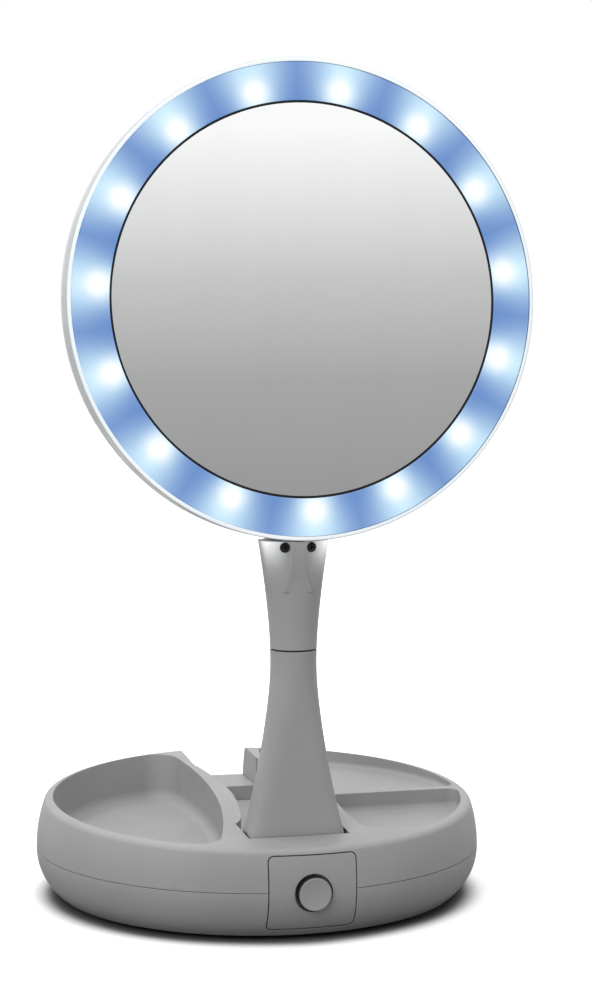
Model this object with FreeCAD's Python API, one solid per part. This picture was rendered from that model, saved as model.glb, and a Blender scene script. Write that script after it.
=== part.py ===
"""Lighted folding makeup mirror: a tray base, a folding arm with a turning neck, and a lit mirror head."""
import FreeCAD
import Part
import math
import os

# Frame: millimetres, +Z up, origin on the table under the middle of the base, front towards -Y.

# Base
base_radius = 87.5
bottom_inset = 8.6
crown_inset = 7.0
lower_wall_bow = 2.4
upper_wall_bow = 1.8
rim_height_front = 34.8
rim_rise = 7.2
crown_rise = 4.0
seam_height_share = 0.56
seam_gap = 0.16
rim_round = 2.4
base_wall = 2.2
floor_thickness = 3.6

# Feet under the base
foot_height = 1.8
foot_radius = 6.0
foot_seat_depth = 0.6
foot_place_shares = (0.457, 0.651)

# Trays in the top of the base, placed in plan by shares of the base radius
rim_width_share = 0.0743
tray_corner_share = 0.0457
tray_front_corner_share = 0.108
tray_floor_round_share = 0.0229
deep_tray_floor_round_share = 0.05
deep_tray_floor_share = 0.632
back_tray_floor_share = 1.0057
front_tray_floor_share = 0.891
left_tray_back_share = -0.24
left_tray_waist_shares = (-0.183, 0.2286)
left_tray_front_shares = (-0.377, -0.8686)
right_tray_back_share = 0.2343
right_tray_waist_shares = (0.2, 0.3429)
right_tray_bend_shares = (0.301, -0.411)
right_tray_front_shares = (0.31, -0.72)
divider_y_share = -0.08
divider_end_share = 0.32
divider_thickness_share = 0.0457

# Control panel and power button
panel_width_share = 0.373
panel_height_share = 0.79
panel_bottom_share = 0.145
panel_corner = 2.0
panel_gap = 0.35
panel_thickness = 1.5
panel_ledge = 1.6
button_radius = 6.2
button_gap = 0.9
button_place_share = 0.5055
button_proud = 2.2
button_round = 0.7
button_flange_lip = 0.9
button_flange_depth = 3.2
button_flange_gap = 0.4
button_stem_radius = 2.2
button_stem_length = 2.8
button_dish_depth = 0.5
button_travel = 1.2
switch_size = 6.2
switch_depth = 3.6
switch_gap = 0.4
switch_board_width = 22.0
switch_board_thickness = 1.6
switch_post = 3.0
switch_back_gap = 0.75

# Arm
pivot_drop = 2.3
neck_half_width = 8.75
foot_half_width = 19.0
lower_arm_share = 0.8205714
upper_arm_share = 0.4662857
foot_flare_share = 0.871
head_end_half_width = 13.4
foot_flare_power_share = 1.6
foot_square_share = 4.0
top_flare_power_share = 1.45
barrel_inset = 0.6
pivot_pin_radius = 2.5
running_clearance = 0.05
washer_thickness = 0.7
washer_gap = 0.1
washer_radius = 3.5

# Nest that takes the folded arm
nest_clearance = 1.0
nest_floor_gap = 0.75
nest_end_gap = 5.2
slot_room = 3.75
gate_clearance = 1.4
gate_floor_share = 0.833

# Neck swivel
stem_radius = 4.5
stem_bore_radius = 2.6
stem_down_length = 16.0
stem_up_length = 12.0
bush_wall = 1.2
bush_length = 14.0
neck_washer_thickness = 0.6
neck_washer_inset = 0.5
wire_bore_radius = 3.0

# Two screws that close the upper arm, and the ridge between them
arm_screw_place = 5.0
arm_screw_drop = 2.4
arm_screw_head_radius = 1.9
arm_screw_shank_radius = 0.9
arm_screw_depth = 12.0
arm_screw_recess = 0.8
ridge_top_half_width = 1.7
ridge_waist_half_width = 2.7
ridge_foot_half_width = 5.4
ridge_rise = 1.4
ridge_run_in = 0.5
ridge_length = 19.0

# Tilt hinge behind the head
head_gap = 0.3
hinge_overlap = 14.8
hinge_back = 3.0
knuckle_radius = 5.0
tongue_half_width = 9.0
tongue_front = 1.5
tongue_root_drop = 6.0
lug_gap = 0.4
lug_thickness = 3.4
hinge_pin_radius = 2.0

# Head
head_lean_angle = 2.0
head_radius = 87.0
head_thickness = 16.0
head_clearance = 3.5
bezel_depth_share = 0.53125
bezel_lip = 1.7
bezel_wall = 1.6
head_round = 4.0
back_wall = 2.0
lit_ring_width = 15.4
diffuser_thickness = 2.0
diffuser_recess = 0.6
diffuser_crown = 0.5
gasket_width = 0.6
gasket_lip = 1.8
glass_thickness = 3.0
glass_recess = 0.9
board_thickness = 1.2
board_back_gap = 2.5
board_edge_gap = 3.0
board_leg_radius = 2.6
led_count = 15
led_place_share = 0.325
led_length = 3.5
led_width = 2.8
led_thickness = 1.0
led_start_angle = 8.0
head_screw_count = 5
head_screw_share = 0.866
head_screw_head_radius = 2.6
head_screw_shank_radius = 1.2
head_screw_head_height = 1.2
head_screw_length = 7.0
head_boss_radius = 3.4
part_clearance = 0.15

# Power bay under the trays
cell_radius = 5.25
cell_length = 44.5
cell_tip_radius = 1.9
cell_tip_length = 0.8
cell_count = 4
cell_gap = 0.7
bay_place_share = 0.2286
bay_wall = 1.6
bay_end_room = 4.0
contact_size = 8.0
contact_thickness = 0.5
contact_spring_radius = 2.6
cover_thickness = 1.5
cover_margin = 3.0
cover_clearance = 0.3
cover_travel = 14.0
cover_grip_count = 5
cover_grip_width = 1.2
cover_grip_depth = 0.5
cover_grip_length = 20.0
cover_grip_pitch = 2.6

# Circuit board in the base
pcb_width = 36.0
pcb_depth = 20.0
pcb_thickness = 1.6
pcb_back = 19.5
pcb_standoff = 3.0
pcb_standoff_radius = 2.2
chip_size = 7.0
chip_height = 1.4
coil_radius = 3.2
coil_height = 4.0

# Base screws
screw_place_shares = (0.64, 0.2971)
screw_post_radius = 4.0
screw_post_foot = 8.5
screw_head_radius = 2.9
screw_head_height = 1.6
screw_shank_radius = 1.4
screw_length = 12.0
screw_sink = 1.4

overrun = 20.0
section_count = 7
section_points = 32
smooth_cosine_share = 0.99

X_AXIS = FreeCAD.Vector(1, 0, 0)
Y_AXIS = FreeCAD.Vector(0, 1, 0)
Z_AXIS = FreeCAD.Vector(0, 0, 1)

# Values of the base that follow from the sizes above
bottom_radius = base_radius - bottom_inset
crown_radius = base_radius - crown_inset
tray_outer_radius = base_radius * (1 - rim_width_share)
tray_corner = base_radius * tray_corner_share
tray_front_corner = base_radius * tray_front_corner_share
tray_floor_round = base_radius * tray_floor_round_share
deep_tray_floor_round = base_radius * deep_tray_floor_round_share
divider_thickness = base_radius * divider_thickness_share
rim_height_back = rim_height_front + rim_rise
crown_height = rim_height_back + crown_rise
seam_height = rim_height_front * seam_height_share
deep_tray_floor = rim_height_front * deep_tray_floor_share
back_tray_floor = rim_height_front * back_tray_floor_share
front_tray_floor = rim_height_front * front_tray_floor_share
gate_floor = rim_height_front * gate_floor_share
rim_slope = math.degrees(math.atan2(rim_rise, 2 * base_radius))
panel_width = base_radius * panel_width_share
panel_height = rim_height_front * panel_height_share
panel_bottom = rim_height_front * panel_bottom_share
button_height = panel_bottom + panel_height * button_place_share
button_hole_radius = button_radius + button_gap
button_flange_radius = button_hole_radius + button_flange_lip
button_flange_back_y = -base_radius + panel_thickness + button_flange_depth
button_back_y = button_flange_back_y + button_stem_length
switch_board_y = button_back_y + button_travel + switch_gap + switch_depth
switch_back_y = switch_board_y + switch_board_thickness + switch_post

# Values of the arm, its nest and the hinge
arm_half_depth = neck_half_width
nest_front_y = switch_back_y + switch_back_gap + base_wall
arm_y = nest_front_y + nest_clearance + arm_half_depth
pivot_height = rim_height_front - pivot_drop
lower_arm_length = base_radius * lower_arm_share
upper_arm_length = base_radius * upper_arm_share
foot_flare_length = lower_arm_length * foot_flare_share
neck_height = pivot_height + lower_arm_length
head_end_height = neck_height + upper_arm_length
barrel_half_length = foot_half_width - barrel_inset
slot_half_width = barrel_half_length + washer_thickness + 2 * washer_gap
slot_back_length = arm_half_depth + slot_room
nest_floor = pivot_height - arm_half_depth - nest_floor_gap
nest_end_y = arm_y + lower_arm_length + upper_arm_length + nest_end_gap
arm_screw_height = head_end_height - arm_screw_drop
hinge_y = arm_y + hinge_back
hinge_height = head_end_height + head_gap + hinge_overlap
tongue_front_y = arm_y - tongue_front
lug_outer = tongue_half_width + lug_gap + lug_thickness
gate_half_width = lug_outer + gate_clearance

# Values of the head
head_centre_height = head_end_height + head_gap + head_radius
head_back_y = tongue_front_y - head_clearance
head_front_y = head_back_y - head_thickness
bezel_back_y = head_front_y + head_thickness * bezel_depth_share
diffuser_outer = head_radius - bezel_lip
diffuser_inner_radius = head_radius - lit_ring_width
head_room_radius = diffuser_outer - bezel_wall
led_ring_radius = diffuser_inner_radius + lit_ring_width * led_place_share
head_screw_place = diffuser_inner_radius * head_screw_share
board_inner_radius = diffuser_inner_radius - gasket_width - gasket_lip
inner_front_y = head_front_y + diffuser_recess + diffuser_thickness
glass_front_y = head_front_y + glass_recess
glass_back_y = glass_front_y + glass_thickness
board_front_y = head_back_y - back_wall - board_back_gap - board_thickness

# Values of the power bay
cell_pitch = 2 * cell_radius + cell_gap
cell_height = foot_height + cover_thickness + cover_clearance + part_clearance + cell_radius
bay_height = cell_height + cell_radius
bay_half_x = cell_pitch * cell_count / 2 + bay_wall
bay_half_y = cell_length / 2 + bay_end_room
bay_centre_y = base_radius * bay_place_share
pcb_y = arm_y + pcb_back
whole_reach = 2 * base_radius + overrun


def vec(x, y, z):
    """Point in the frame of the mirror."""
    return FreeCAD.Vector(x, y, z)


def box(x0, x1, y0, y1, z0, z1):
    """Box between two corners."""
    return Part.makeBox(x1 - x0, y1 - y0, z1 - z0, vec(x0, y0, z0))


def rod(radius, length, start, axis):
    """Round bar from a start point along an axis."""
    return Part.makeCylinder(radius, length, start, axis)


def tube(outer, inner, length, start, axis):
    """Round bar with a bore."""
    back = start - axis * overrun
    return rod(outer, length, start, axis).cut(rod(inner, length + 2 * overrun, back, axis))


def joined(shapes):
    """One solid from shapes that overlap."""
    result = shapes[0]
    for shape in shapes[1:]:
        result = result.fuse(shape)
    return result.removeSplitter()


def cut_all(shape, tools):
    """Shape with every tool taken away."""
    for tool in tools:
        shape = shape.cut(tool)
    return shape


def upright_edges(shape):
    """Edges of a prism that stand along Z."""
    found = []
    for edge in shape.Edges:
        first = edge.Vertexes[0].Point
        last = edge.Vertexes[-1].Point
        if abs(first.x - last.x) + abs(first.y - last.y) < abs(first.z - last.z) * 1e-6:
            found.append(edge)
    return found


def sharp_edges(edges, shape):
    """Those of some edges where the two faces of a shape meet at a corner."""
    found = []
    for edge in edges:
        middle = edge.valueAt((edge.FirstParameter + edge.LastParameter) / 2)
        sides = []
        for face in shape.ancestorsOfType(edge, Part.Face):
            sides.append(face.normalAt(*face.Surface.parameter(middle)))
        if abs(sides[0].dot(sides[-1])) < smooth_cosine_share:
            found.append(edge)
    return found


def level_edges(shape, level):
    """Edges of a prism that lie at one height."""
    found = []
    for edge in shape.Edges:
        bounds = edge.BoundBox
        if abs(bounds.ZMin - level) + abs(bounds.ZMax - level) < 1e-6:
            found.append(edge)
    return found


def wall_curve(offset, low, high, bow):
    """Arc of the base wall in the XZ plane between two (radius, height) points, bowed outwards."""
    start = vec(low[0] - offset, 0, low[1])
    end = vec(high[0] - offset, 0, high[1])
    along = end - start
    out = vec(along.z, 0, -along.x).normalize()
    middle = (start + end) * 0.5 + out * bow
    return Part.Arc(start, middle, end).toShape()


def turned_about_z(edges):
    """Solid of revolution about Z from edges that run up the wall, closed along the axis."""
    start = edges[0].Vertexes[0].Point
    end = edges[-1].Vertexes[-1].Point
    foot = vec(0, 0, start.z)
    head = vec(0, 0, end.z)
    close = [Part.makeLine(foot, start)] + edges + [Part.makeLine(end, head), Part.makeLine(head, foot)]
    return Part.Face(Part.Wire(close)).revolve(vec(0, 0, 0), Z_AXIS, 360)


def below_rim(shape, drop):
    """Part of a shape below the sloping top of the base, lowered by a drop."""
    size = whole_reach
    middle = (rim_height_front + rim_height_back) / 2 - drop
    block = box(-size, size, -size, size, -size, 0)
    block.rotate(vec(0, 0, 0), X_AXIS, rim_slope)
    block.translate(vec(0, 0, middle))
    return shape.common(block)


def lower_wall(offset):
    """Rising arc of the lower shell, moved inwards by an offset."""
    low = (bottom_radius, foot_height)
    return wall_curve(offset, low, (base_radius, seam_height), lower_wall_bow)


def upper_wall(offset):
    """Rising arc of the upper shell, moved inwards by an offset."""
    high = (crown_radius, crown_height)
    return wall_curve(offset, (base_radius, seam_height), high, upper_wall_bow)


def base_body(offset):
    """Whole body of the base, moved inwards by an offset."""
    return turned_about_z([lower_wall(offset), upper_wall(offset)])


def half_width(height):
    """Half width of the arm at a height, seen from the front."""
    rise = height - pivot_height
    if rise < foot_flare_length:
        share = 1 - rise / foot_flare_length
        return neck_half_width + (foot_half_width - neck_half_width) * share ** foot_flare_power_share
    if height < neck_height:
        return neck_half_width
    share = (height - neck_height) / (head_end_height - neck_height)
    return neck_half_width + (head_end_half_width - neck_half_width) * share ** top_flare_power_share


def arm_section(height):
    """Section of the arm: round at the neck, squarer towards the foot."""
    wide = half_width(height)
    share = max(0, 1 - (height - pivot_height) / foot_flare_length)
    power = 2 / (2 + foot_square_share * share)
    points = []
    for index in range(section_points):
        turn = math.tau * index / section_points
        across = math.copysign(abs(math.cos(turn)) ** power, math.cos(turn))
        deep = math.copysign(abs(math.sin(turn)) ** power, math.sin(turn))
        points.append(vec(wide * across, arm_y + arm_half_depth * deep, height))
    curve = Part.BSplineCurve()
    curve.interpolate(points, PeriodicFlag=True)
    return Part.Wire(curve.toShape())


def arm_column(low, high):
    """Arm between two heights, through a row of oval sections."""
    step = (high - low) / (section_count - 1)
    return Part.makeLoft([arm_section(low + step * index) for index in range(section_count)], True)


def arm_plan(clearance):
    """Outline in plan of the arm laid back, widened by a clearance."""
    length = head_end_height - pivot_height
    steps = 4 * section_count
    right = []
    for index in range(steps + 1):
        rise = length * index / steps
        right.append((half_width(pivot_height + rise) + clearance, arm_y + rise))
    slot_back_y = arm_y + slot_back_length
    right = [point for point in right if point[1] > slot_back_y + arm_half_depth]
    wall = clearance - nest_clearance
    slot = slot_half_width + wall
    right = [(slot, nest_front_y - wall), (slot, slot_back_y)] + right
    right.append((right[-1][0], nest_end_y + wall))
    return right + [(-x, y) for x, y in reversed(right)]


def curved_prism(points, low, high):
    """Prism over a plan outline whose long sides are smooth curves."""
    count = len(points) // 2
    right = [vec(x, y, low) for x, y in points[1:count - 1]]
    left = [vec(x, y, low) for x, y in points[count + 1:-1]]
    edges = []
    corners = [vec(x, y, low) for x, y in points]
    for row, start, end in ((right, corners[0], corners[count - 1]), (left, corners[count], corners[-1])):
        curve = Part.BSplineCurve()
        curve.interpolate(row)
        edges.append(Part.makeLine(start, row[0]))
        edges.append(curve.toShape())
        edges.append(Part.makeLine(row[-1], end))
    edges.insert(3, Part.makeLine(corners[count - 1], corners[count]))
    edges.append(Part.makeLine(corners[-1], corners[0]))
    return Part.Face(Part.Wire(Part.__sortEdges__(edges))).extrude(Z_AXIS * (high - low))


def nest(clearance, low):
    """Space of the nest for the folded arm, with its gate at the back."""
    return curved_prism(arm_plan(nest_clearance + clearance), low, crown_height)


def gate(clearance, low):
    """Space of the open gate behind the nest."""
    wide = gate_half_width + clearance
    return box(-wide, wide, nest_end_y - overrun / 2, base_radius + overrun, low, crown_height)


def in_plan(shares, grow):
    """Point in plan from shares of the base radius, moved sideways by a wall."""
    return base_radius * shares[0] + grow, base_radius * shares[1]


def tray_side(back, waist, front):
    """Curved side of a tray in plan, through three points from back to front."""
    return Part.Arc(*[vec(x, y, 0) for x, y in (back, waist, front)]).toShape()


def tray_face(name, grow):
    """Plan face of a tray, open to the round outer wall and grown by a wall towards its neighbours."""
    far = base_radius + overrun
    divider_y = base_radius * divider_y_share
    divider_end_x = base_radius * divider_end_share - grow
    if name == "left":
        back = (base_radius * left_tray_back_share + grow, tray_outer_radius)
        x, y = in_plan(left_tray_front_shares, grow)
        front = (x, y - grow)
        side = tray_side(back, in_plan(left_tray_waist_shares, grow), front)
        rest = [front, (-far, front[1]), (-far, far), (back[0], far), back]
    elif name == "right_back":
        back = (base_radius * right_tray_back_share - grow, tray_outer_radius)
        end = (divider_end_x, divider_y + divider_thickness / 2 - grow)
        side = tray_side(back, in_plan(right_tray_waist_shares, -grow), end)
        rest = [end, (far, end[1]), (far, far), (back[0], far), back]
    else:
        back = (divider_end_x, divider_y - divider_thickness / 2 + grow)
        x, y = in_plan(right_tray_front_shares, -grow)
        front = (x, y - grow)
        side = tray_side(back, in_plan(right_tray_bend_shares, -grow), front)
        rest = [front, (far, front[1]), (far, back[1]), back]
    corners = [vec(x, y, 0) for x, y in rest]
    lines = [Part.makeLine(first, last) for first, last in zip(corners, corners[1:])]
    return Part.Face(Part.Wire([side] + lines))


def tray_space(name, floor, grow):
    """Upright space over the plan of a tray, inside the round outer wall."""
    face = tray_face(name, grow)
    face.translate(vec(0, 0, floor - grow))
    space = face.extrude(Z_AXIS * (crown_height - floor + grow))
    return space.common(rod(tray_outer_radius + grow, crown_height, vec(0, 0, 0), Z_AXIS))


def tray(name, floor):
    """Space inside a tray, with rounded corners and a rounded floor."""
    room = tray_space(name, floor, 0)
    reach = base_radius if name == "left" else -base_radius / 2
    wide = [edge for edge in sharp_edges(upright_edges(room), room) if edge.BoundBox.YMin < reach]
    if wide:
        room = room.makeFillet(tray_front_corner, wide)
    small = sharp_edges(upright_edges(room), room)
    if small:
        room = room.makeFillet(tray_corner, small)
    floor_round = deep_tray_floor_round if name == "left" else tray_floor_round
    return room.makeFillet(floor_round, level_edges(room, floor))


def panel_block(margin, front, back):
    """Rounded block along Y in the place of the control panel."""
    half = panel_width / 2 + margin
    low = panel_bottom - margin
    high = panel_bottom + panel_height + margin
    block = box(-half, half, front, back, low, high)
    edges = [edge for edge in block.Edges if abs(edge.BoundBox.YLength - (back - front)) < 1e-6]
    return block.makeFillet(panel_corner + margin, edges)


def panel_window():
    """Cut-out of the base wall that the control panel sits in, with a ledge behind."""
    recess = panel_block(panel_gap, -base_radius - overrun, -base_radius / 2)
    recess = recess.cut(base_body(panel_thickness))
    hole = panel_block(-panel_ledge, -base_radius - overrun, -base_radius + overrun)
    return recess.fuse(hole)


def screw_places():
    """Places in plan of the four base screws."""
    x, y = [base_radius * share for share in screw_place_shares]
    return [(sx * x, sy * y) for sx in (-1, 1) for sy in (-1, 1)]


def wide_slab(low, high):
    """Slab wider than the base between two heights."""
    return box(-whole_reach, whole_reach, -whole_reach, whole_reach, low, high)


def upper_shell():
    """Upper shell of the base with its trays, the nest for the arm and the posts for the screws."""
    above = wide_slab(seam_height + seam_gap / 2, crown_height)
    outer = below_rim(base_body(0).common(above), 0)
    low_rim = rim_height_front - base_wall
    rim = [edge for edge in outer.Edges if edge.BoundBox.ZMin > low_rim and edge.Length > base_radius]
    outer = outer.makeFillet(rim_round, rim)
    inner = below_rim(base_body(base_wall).common(above), base_wall)
    inner = inner.fuse(rod(base_radius - base_wall, seam_gap, vec(0, 0, seam_height), Z_AXIS))
    trays = [("left", deep_tray_floor), ("right_back", back_tray_floor), ("right_front", front_tray_floor)]
    hollow = cut_all(inner, [tray_space(name, floor, base_wall) for name, floor in trays])
    hollow = hollow.cut(nest(base_wall, nest_floor - base_wall))
    hollow = hollow.cut(gate(base_wall, gate_floor - base_wall))
    shell = outer.cut(hollow)
    posts = []
    for x, y in screw_places():
        right_floor = back_tray_floor if y > 0 else front_tray_floor
        floor = deep_tray_floor if x < 0 else right_floor
        height = floor - base_wall / 2 - screw_post_foot
        posts.append(rod(screw_post_radius, height, vec(x, y, screw_post_foot), Z_AXIS))
    shell = joined([shell] + posts)
    cuts = [tray(name, floor) for name, floor in trays]
    cuts += [nest(0, nest_floor), gate(0, gate_floor), panel_window()]
    reach = 2 * (slot_half_width + 2 * base_wall)
    cuts.append(rod(pivot_pin_radius, reach, vec(-reach / 2, arm_y, pivot_height), X_AXIS))
    wires = vec(0, arm_y, nest_floor - base_wall - overrun / 2)
    cuts.append(rod(wire_bore_radius, base_wall + overrun, wires, Z_AXIS))
    hole = screw_shank_radius + running_clearance
    depth = foot_height + screw_sink + screw_head_height + screw_length - screw_post_foot
    for x, y in screw_places():
        cuts.append(rod(hole, depth, vec(x, y, screw_post_foot), Z_AXIS))
    return cut_all(shell, cuts)


def foot_places():
    """Places in plan of the four rubber feet."""
    x, y = [base_radius * share for share in foot_place_shares]
    return [(sx * x, sy * y) for sx in (-1, 1) for sy in (-1, 1)]


def cover_size():
    """Half sizes of the power bay cover."""
    return bay_half_x + cover_margin, bay_half_y + cover_margin


def lower_shell():
    """Lower shell of the base: a dish with the power bay, screw bosses and board posts."""
    outer = turned_about_z([lower_wall(0)])
    outer = outer.common(wide_slab(0, seam_height - seam_gap / 2))
    floor = foot_height + floor_thickness
    room = turned_about_z([lower_wall(base_wall)])
    room = room.common(wide_slab(floor, seam_height + overrun))
    shell = outer.cut(room)
    adds = []
    wide = bay_half_x + bay_wall
    deep = bay_half_y + bay_wall
    adds.append(box(-wide, wide, bay_centre_y - deep, bay_centre_y + deep, foot_height, bay_height))
    for x, y in screw_places():
        adds.append(rod(screw_post_radius, screw_post_foot - foot_height, vec(x, y, foot_height), Z_AXIS))
    for x, y in pcb_posts():
        adds.append(rod(pcb_standoff_radius, pcb_standoff + floor_thickness, vec(x, y, foot_height), Z_AXIS))
    for side in (-1, 1):
        left = (side * (switch_board_width - switch_post) - switch_post) / 2
        front = switch_board_y + switch_board_thickness
        top = seam_height - seam_gap
        adds.append(box(left, left + switch_post, front, switch_back_y, foot_height, top))
    shell = joined([shell] + adds)
    cuts = [panel_window()]
    bay_front = bay_centre_y - bay_half_y
    bay_back = bay_centre_y + bay_half_y
    below = foot_height - overrun
    cuts.append(box(-bay_half_x, bay_half_x, bay_front, bay_back, below, bay_height + overrun))
    cover_x, cover_y = cover_size()
    track_x = cover_x + cover_clearance
    track_y = cover_y + cover_clearance
    track_top = foot_height + cover_thickness + cover_clearance
    track_front = bay_centre_y - track_y - cover_travel
    cuts.append(box(-track_x, track_x, track_front, bay_centre_y + track_y, foot_height - overrun, track_top))
    for x, y in foot_places():
        below = vec(x, y, foot_height - overrun)
        cuts.append(rod(foot_radius + part_clearance, foot_seat_depth + overrun, below, Z_AXIS))
    for x, y in screw_places():
        below = vec(x, y, foot_height - overrun)
        sink = screw_sink + screw_head_height + overrun
        cuts.append(rod(screw_head_radius + part_clearance, sink, below, Z_AXIS))
        shank = screw_shank_radius + part_clearance
        cuts.append(rod(shank, screw_post_foot + overrun, vec(x, y, foot_height), Z_AXIS))
    return cut_all(shell, cuts)


def battery_cover():
    """Sliding cover under the power bay, with grip grooves."""
    wide, deep = cover_size()
    low = foot_height + cover_clearance / 2
    plate = box(-wide, wide, bay_centre_y - deep, bay_centre_y + deep, low, low + cover_thickness)
    grooves = []
    half = cover_grip_length / 2
    first = bay_centre_y + deep - cover_grip_pitch * (cover_grip_count + 1)
    for index in range(cover_grip_count):
        y = first + cover_grip_pitch * index
        grooves.append(box(-half, half, y, y + cover_grip_width, low - overrun, low + cover_grip_depth))
    return cut_all(plate, grooves)


def cell_rows():
    """Middle x of each cell, with the way its tip points."""
    first = -cell_pitch * (cell_count - 1) / 2
    return [(first + cell_pitch * index, 1 if index % 2 == 0 else -1) for index in range(cell_count)]


def battery_cells():
    """Four round cells side by side, turned end for end."""
    cells = []
    for x, way in cell_rows():
        axis = Y_AXIS * way
        start = vec(x, bay_centre_y - way * cell_length / 2, cell_height)
        body = rod(cell_radius, cell_length - cell_tip_length, start, axis)
        tip = rod(cell_tip_radius, cell_length, start, axis)
        cells.append(joined([body, tip]))
    return Part.makeCompound(cells)


def battery_contacts():
    """Sprung contact plates at both ends of every cell."""
    plates = []
    for x, way in cell_rows():
        for end in (-1, 1):
            wall = bay_centre_y + end * bay_half_y
            low = min(wall, wall - contact_thickness * end)
            high = low + contact_thickness
            half = contact_size / 2
            plate = box(x - half, x + half, low, high, cell_height - half, cell_height + half)
            reach = bay_end_room - part_clearance
            root = vec(x, wall, cell_height)
            wide = contact_spring_radius
            spring = Part.makeCone(wide, wide / 2, reach, root, Y_AXIS * -end)
            plates.append(joined([plate, spring]))
    return Part.makeCompound(plates)


def rubber_feet():
    """Four soft feet let into the bottom."""
    height = foot_height + foot_seat_depth
    return Part.makeCompound([rod(foot_radius, height, vec(x, y, 0), Z_AXIS) for x, y in foot_places()])


def base_screws():
    """Four screws that hold the shells together from below."""
    screws = []
    for x, y in screw_places():
        start = foot_height + screw_sink
        head = rod(screw_head_radius, screw_head_height, vec(x, y, start), Z_AXIS)
        shank = rod(screw_shank_radius, screw_length, vec(x, y, start), Z_AXIS)
        screws.append(joined([head, shank]))
    return Part.makeCompound(screws)


def pcb_posts():
    """Places in plan of the posts under the circuit board."""
    reach_x = pcb_width / 2 - 2 * pcb_standoff_radius
    reach_y = pcb_depth / 2 - 2 * pcb_standoff_radius
    return [(sx * reach_x, pcb_y + sy * reach_y) for sx in (-1, 1) for sy in (-1, 1)]


def circuit_board():
    """Driver board on its posts, with a chip and two coils."""
    low = foot_height + floor_thickness + pcb_standoff
    top = low + pcb_thickness
    wide = pcb_width / 2
    deep = pcb_depth / 2
    half = chip_size / 2
    board = box(-wide, wide, pcb_y - deep, pcb_y + deep, low, top)
    chip = box(-half, half, pcb_y - half, pcb_y + half, top, top + chip_height)
    coils = [rod(coil_radius, coil_height, vec(side * pcb_width / 3, pcb_y, top), Z_AXIS) for side in (-1, 1)]
    return joined([board, chip] + coils)


def control_panel():
    """Curved panel on the front of the base, with the hole for the button."""
    plate = panel_block(0, -base_radius - overrun, -base_radius / 2)
    plate = plate.common(base_body(0)).cut(base_body(panel_thickness))
    hole = rod(button_hole_radius, 2 * overrun, vec(0, -base_radius - overrun, button_height), Y_AXIS)
    return plate.cut(hole)


def power_button():
    """Push button with a dished cap, a flange that follows the inside of the panel, and a stem."""
    front = -base_radius - button_proud
    cap = rod(button_radius, button_flange_back_y - front, vec(0, front, button_height), Y_AXIS)
    rim = [edge for edge in cap.Edges if edge.BoundBox.YMax < front + 1e-6]
    cap = cap.makeFillet(button_round, rim)
    lens = (button_radius ** 2 + button_dish_depth ** 2) / (2 * button_dish_depth)
    dish = Part.makeSphere(lens, vec(0, front - lens + button_dish_depth, button_height))
    collar = rod(button_flange_radius, button_flange_back_y - front, vec(0, front, button_height), Y_AXIS)
    collar = collar.common(base_body(panel_thickness + button_flange_gap))
    stem = rod(button_stem_radius, button_back_y + base_radius, vec(0, -base_radius, button_height), Y_AXIS)
    return joined([cap.cut(dish), collar, stem])


def push_switch():
    """Push switch on its small upright board."""
    half = switch_size / 2
    wide = switch_board_width / 2
    top = button_height + half
    body = box(-half, half, switch_board_y - switch_depth, switch_board_y, button_height - half, top)
    back = switch_board_y + switch_board_thickness
    board = box(-wide, wide, switch_board_y, back, foot_height + floor_thickness, top)
    return joined([body, board])


def pivot_pin():
    """Steel pin that the arm folds about."""
    half = slot_half_width + base_wall
    return rod(pivot_pin_radius, 2 * half, vec(-half, arm_y, pivot_height), X_AXIS)


def friction_washers():
    """Two washers between the arm barrel and the sides of the slot."""
    start = slot_half_width - washer_thickness
    bore = pivot_pin_radius + running_clearance
    places = [vec(x, arm_y, pivot_height) for x in (-slot_half_width, start)]
    return Part.makeCompound([tube(washer_radius, bore, washer_thickness, place, X_AXIS) for place in places])


def lower_arm():
    """Lower arm: a flared column with a round underside, bored for the pin, the bush and the wires."""
    top = neck_height - neck_washer_thickness / 2
    end = vec(-barrel_half_length, arm_y, pivot_height)
    barrel = rod(arm_half_depth, 2 * barrel_half_length, end, X_AXIS)
    barrel = barrel.common(wide_slab(0, pivot_height + pivot_pin_radius / 2))
    column = arm_column(pivot_height, top)
    limit = box(-barrel_half_length, barrel_half_length, arm_y - overrun, arm_y + overrun, 0, head_end_height)
    body = joined([barrel, column.common(limit)])
    side = vec(-2 * barrel_half_length, arm_y, pivot_height)
    pin = rod(pivot_pin_radius + running_clearance, 4 * barrel_half_length, side, X_AXIS)
    bore = stem_radius + running_clearance
    depth = stem_down_length + bush_wall
    bush = rod(bore + bush_wall, bush_length, vec(0, arm_y, top - bush_length), Z_AXIS)
    well = rod(bore, depth, vec(0, arm_y, top - depth), Z_AXIS)
    start = vec(0, arm_y, pivot_height + 2 * pivot_pin_radius)
    wires = rod(wire_bore_radius, top - pivot_height + overrun, start, Z_AXIS)
    return cut_all(body, [pin, bush, well, wires])


def neck_bush():
    """Plain bush pressed into the lower arm."""
    top = neck_height - neck_washer_thickness / 2
    inner = stem_radius + running_clearance
    return tube(inner + bush_wall, inner, bush_length, vec(0, arm_y, top - bush_length), Z_AXIS)


def neck_washer():
    """Thin dark washer at the neck seam."""
    low = neck_height - neck_washer_thickness / 2
    outer = neck_half_width - neck_washer_inset
    return tube(outer, stem_radius + running_clearance, neck_washer_thickness, vec(0, arm_y, low), Z_AXIS)


def swivel_stem():
    """Hollow stem fixed in the upper arm, which turns in the bush."""
    low = neck_height - neck_washer_thickness / 2 - stem_down_length
    length = stem_down_length + neck_washer_thickness + stem_up_length
    return tube(stem_radius, stem_bore_radius, length, vec(0, arm_y, low), Z_AXIS)


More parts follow.
